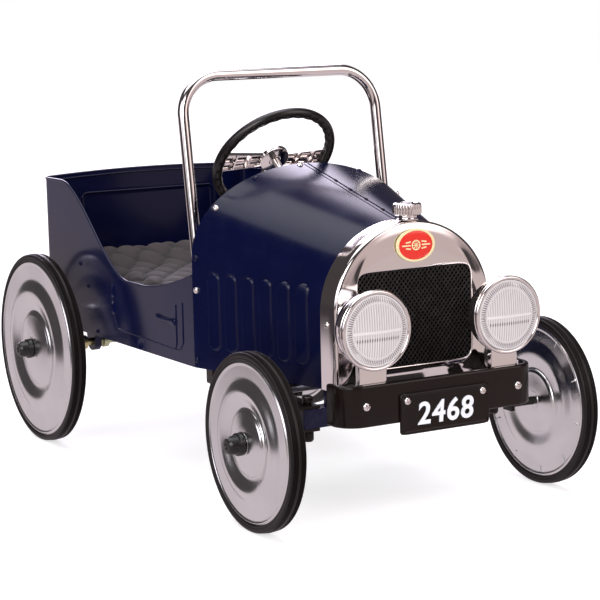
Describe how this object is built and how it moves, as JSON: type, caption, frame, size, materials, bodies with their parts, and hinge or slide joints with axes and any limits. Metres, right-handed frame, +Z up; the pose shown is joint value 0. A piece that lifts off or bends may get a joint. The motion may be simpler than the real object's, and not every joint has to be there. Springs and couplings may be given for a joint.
{
  "type": "pedal car",
  "caption": "Child's vintage-style pedal car: pressed steel body with a louvred bonnet, arched radiator, windscreen hoop, cushioned seat, steering and crank drive.",
  "frame": {"origin": "on the ground under the middle of the car", "axes": "-Y is the direction of travel, +X is the car's left side, +Z is up"},
  "size_m": [0.477, 0.8138, 0.5043],
  "materials": {
    "navy_paint": "gloss enamel over pressed steel",
    "chrome": "mirror plated",
    "black_paint": "gloss black enamel",
    "clear_lens": "clear fluted moulding",
    "badge_enamel": "gloss red with a cream border",
    "black_mesh": "satin black diamond mesh",
    "black_plastic": "satin moulded",
    "bright_steel": "bright plated rod and strip",
    "pressed_steel": "polished pressed disc",
    "tyre_rubber": "solid ribbed rubber",
    "pedal_rubber": "ribbed block",
    "zinc_plate": "yellow passivated zinc",
    "grey_cloth": "warm grey quilted cloth"
  },
  "bodies": {
    "chassis": {"badge": "badge_enamel", "body_block_left": "black_paint", "body_block_right": "black_paint", "bumper": "black_paint", "bumper_bracket_left": "black_paint", "bumper_bracket_right": "black_paint", "chassis_rail_left": "navy_paint", "chassis_rail_right": "navy_paint", "column_crossmember": "navy_paint", "cowl": "navy_paint", "dash_bracket": "navy_paint", "filler_cap": "chrome", "front_beam": "navy_paint", "headlamp_cup_left": "chrome", "headlamp_cup_right": "chrome", "headlamp_foot_left": "chrome", "headlamp_foot_right": "chrome", "headlamp_lens_left": "clear_lens", "headlamp_lens_right": "clear_lens", "headlamp_rim_left": "chrome", "headlamp_rim_right": "chrome", "hinge_strip": "navy_paint", "kingpin_left": "black_paint", "kingpin_right": "black_paint", "number_plate": "black_paint", "pedal_rod": "bright_steel", "radiator_grille": "black_mesh", "radiator_shell": "chrome", "rear_hanger_left": "navy_paint", "rear_hanger_right": "navy_paint", "seat_cushion": "grey_cloth", "seat_pan": "navy_paint", "tub": "navy_paint", "windscreen_frame": "chrome"},
    "steering_wheel": {"steering_rim": "black_plastic", "steering_spokes": "chrome", "steering_column": "bright_steel"},
    "tie_rod": {"tie_rod": "bright_steel"},
    "rear_axle": {"rear_axle": "zinc_plate", "wheel_disc_rear_right": "pressed_steel", "tyre_rear_right": "tyre_rubber", "hub_cap_rear_right": "black_plastic"},
    "rear_wheel_left": {"wheel_disc_rear_left": "pressed_steel", "tyre_rear_left": "tyre_rubber", "hub_cap_rear_left": "black_plastic"},
    "knuckle_left": {"knuckle_left": "black_paint"},
    "front_wheel_left": {"wheel_disc_front_left": "pressed_steel", "tyre_front_left": "tyre_rubber", "hub_cap_front_left": "black_plastic"},
    "connecting_rod_left": {"connecting_rod_left": "bright_steel"},
    "pedal_left": {"pedal_arm_left": "bright_steel", "pedal_left": "pedal_rubber"},
    "knuckle_right": {"knuckle_right": "black_paint"},
    "front_wheel_right": {"wheel_disc_front_right": "pressed_steel", "tyre_front_right": "tyre_rubber", "hub_cap_front_right": "black_plastic"},
    "connecting_rod_right": {"connecting_rod_right": "bright_steel"},
    "pedal_right": {"pedal_arm_right": "bright_steel", "pedal_right": "pedal_rubber"}
  },
  "joints": [
    {"name": "steering_turn", "type": "hinge", "parent": "chassis", "child": "steering_wheel", "pos_m": [0, -0.0149, 0.389], "axis": [0, 0.766, 0.6428], "range_deg": [-35, 35]},
    {"name": "knuckle_left_steer", "type": "hinge", "parent": "chassis", "child": "knuckle_left", "pos_m": [0.128, -0.3049, 0.121], "axis": [0, 0, 1], "range_deg": [-25, 25]},
    {"name": "knuckle_right_steer", "type": "hinge", "parent": "chassis", "child": "knuckle_right", "pos_m": [-0.128, -0.3049, 0.121], "axis": [0, 0, 1], "range_deg": [-25, 25]},
    {"name": "tie_rod_pivot", "type": "hinge", "parent": "knuckle_right", "child": "tie_rod", "pos_m": [-0.128, -0.241, 0.1405], "axis": [0, 0, 1], "range_deg": [-25, 25]},
    {"name": "front_wheel_left_spin", "type": "hinge", "parent": "knuckle_left", "child": "front_wheel_left", "pos_m": [0.1978, -0.3049, 0.102], "axis": [1, 0, 0], "continuous": true},
    {"name": "front_wheel_right_spin", "type": "hinge", "parent": "knuckle_right", "child": "front_wheel_right", "pos_m": [-0.1978, -0.3049, 0.102], "axis": [1, 0, 0], "continuous": true},
    {"name": "rear_axle_spin", "type": "hinge", "parent": "chassis", "child": "rear_axle", "pos_m": [0, 0.2794, 0.1275], "axis": [1, 0, 0], "continuous": true},
    {"name": "rear_wheel_left_spin", "type": "hinge", "parent": "rear_axle", "child": "rear_wheel_left", "pos_m": [0.203, 0.2794, 0.1275], "axis": [1, 0, 0], "continuous": true},
    {"name": "connecting_rod_left_turn", "type": "hinge", "parent": "rear_axle", "child": "connecting_rod_left", "pos_m": [0.055, 0.3094, 0.1275], "axis": [1, 0, 0], "continuous": true},
    {"name": "connecting_rod_right_turn", "type": "hinge", "parent": "rear_axle", "child": "connecting_rod_right", "pos_m": [-0.055, 0.2494, 0.1275], "axis": [1, 0, 0], "continuous": true},
    {"name": "pedal_left_swing", "type": "hinge", "parent": "chassis", "child": "pedal_left", "pos_m": [0.0645, -0.1399, 0.262], "axis": [1, 0, 0], "range_deg": [-28.4, 0]},
    {"name": "pedal_right_swing", "type": "hinge", "parent": "chassis", "child": "pedal_right", "pos_m": [-0.0645, -0.1399, 0.262], "axis": [1, 0, 0], "range_deg": [0, 28.4]}
  ],
  "couplings": [
    {"joint": "knuckle_left_steer", "follows": "steering_turn", "ratio": 0.7042},
    {"joint": "knuckle_right_steer", "follows": "steering_turn", "ratio": 0.7042},
    {"joint": "tie_rod_pivot", "follows": "steering_turn", "ratio": -0.7042},
    {"joint": "connecting_rod_left_turn", "follows": "rear_axle_spin", "ratio": -1},
    {"joint": "connecting_rod_right_turn", "follows": "rear_axle_spin", "ratio": -1},
    {"joint": "pedal_right_swing", "follows": "pedal_left_swing", "ratio": -1}
  ]
}
